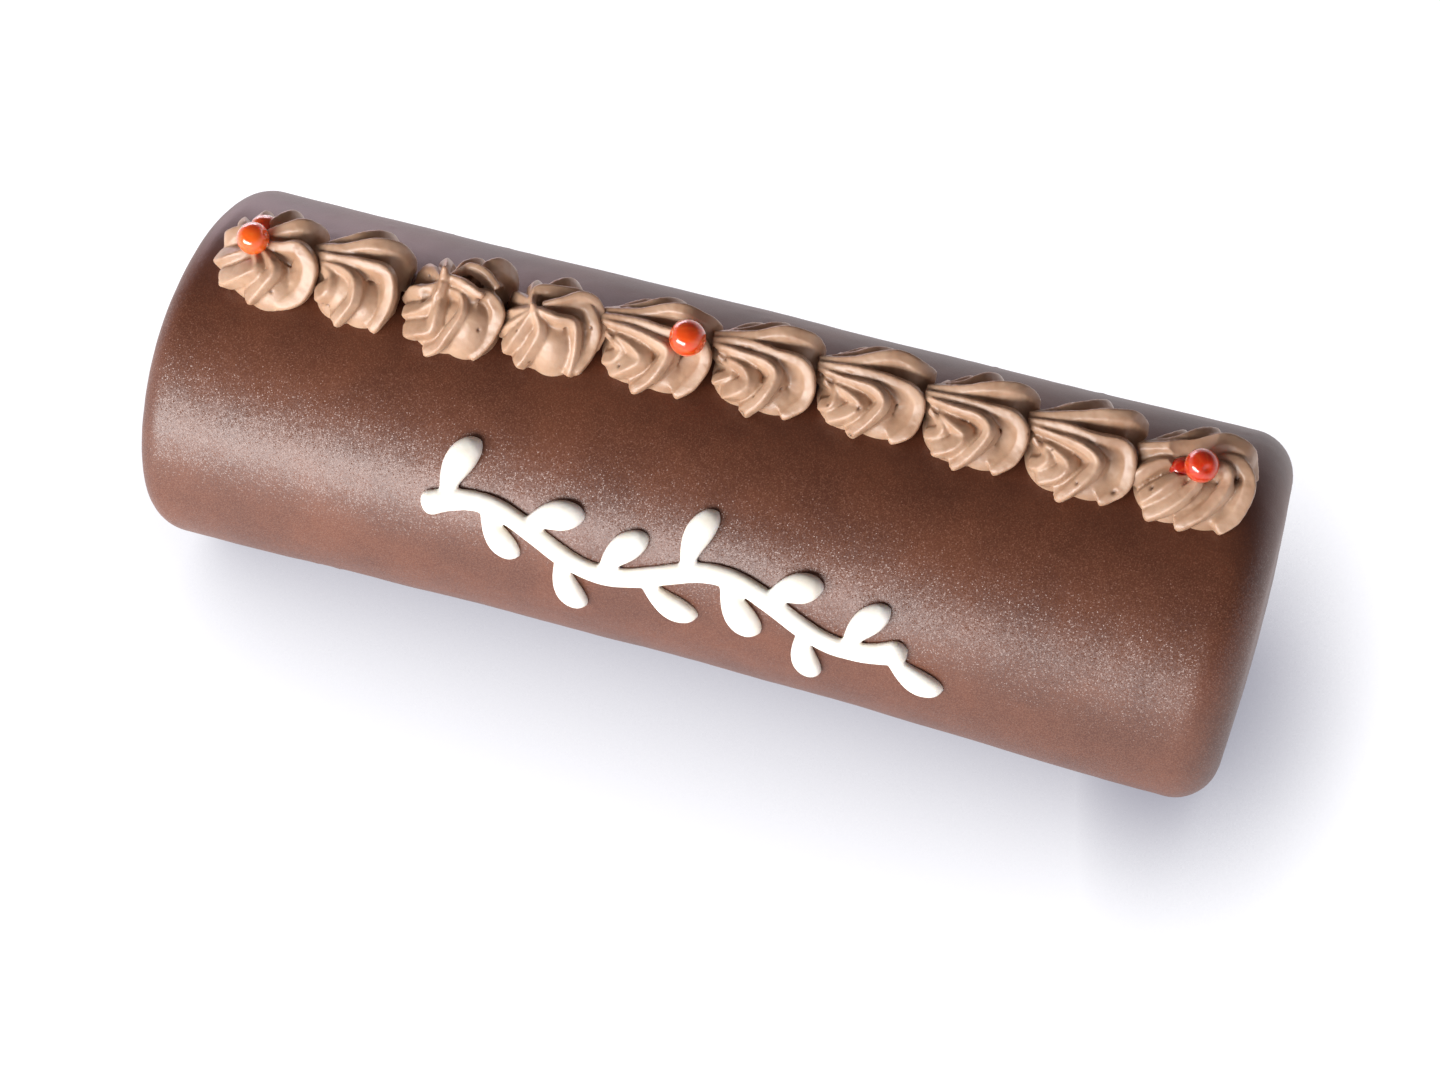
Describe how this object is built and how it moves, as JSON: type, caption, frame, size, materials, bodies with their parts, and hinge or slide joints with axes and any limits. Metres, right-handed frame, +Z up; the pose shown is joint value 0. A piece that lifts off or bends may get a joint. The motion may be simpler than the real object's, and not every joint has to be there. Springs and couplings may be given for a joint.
{
  "type": "chocolate swiss roll",
  "caption": "Whole chocolate-glazed swiss roll with a row of piped cocoa cream shells, redcurrants and a piped white vine; decorative cake for a table, counter or display case.",
  "frame": {"origin": "bottom centre of the whole cake's bounding box, on the surface that the cake rests on", "axes": "+X runs along the log from its left end to its right end as seen from the front, -Y is the decorated front, +Z is up"},
  "size_m": [0.303, 0.105, 0.1127],
  "materials": {
    "glaze": "satin dark chocolate glaze with a fine sparkle",
    "cream": "smooth soft cocoa buttercream, slightly moist",
    "currant": "glossy translucent redcurrant skin",
    "icing": "smooth satin white icing"
  },
  "bodies": {
    "root": {"log": "glaze", "shell_01": "cream", "shell_02": "cream", "shell_03": "cream", "shell_04": "cream", "shell_05": "cream", "shell_06": "cream", "shell_07": "cream", "shell_08": "cream", "shell_09": "cream", "shell_10": "cream", "currant_left": "currant", "currant_left_behind": "currant", "currant_middle": "currant", "currant_right": "currant", "currant_right_beside": "currant", "piped_vine": "icing"}
  },
  "joints": []
}
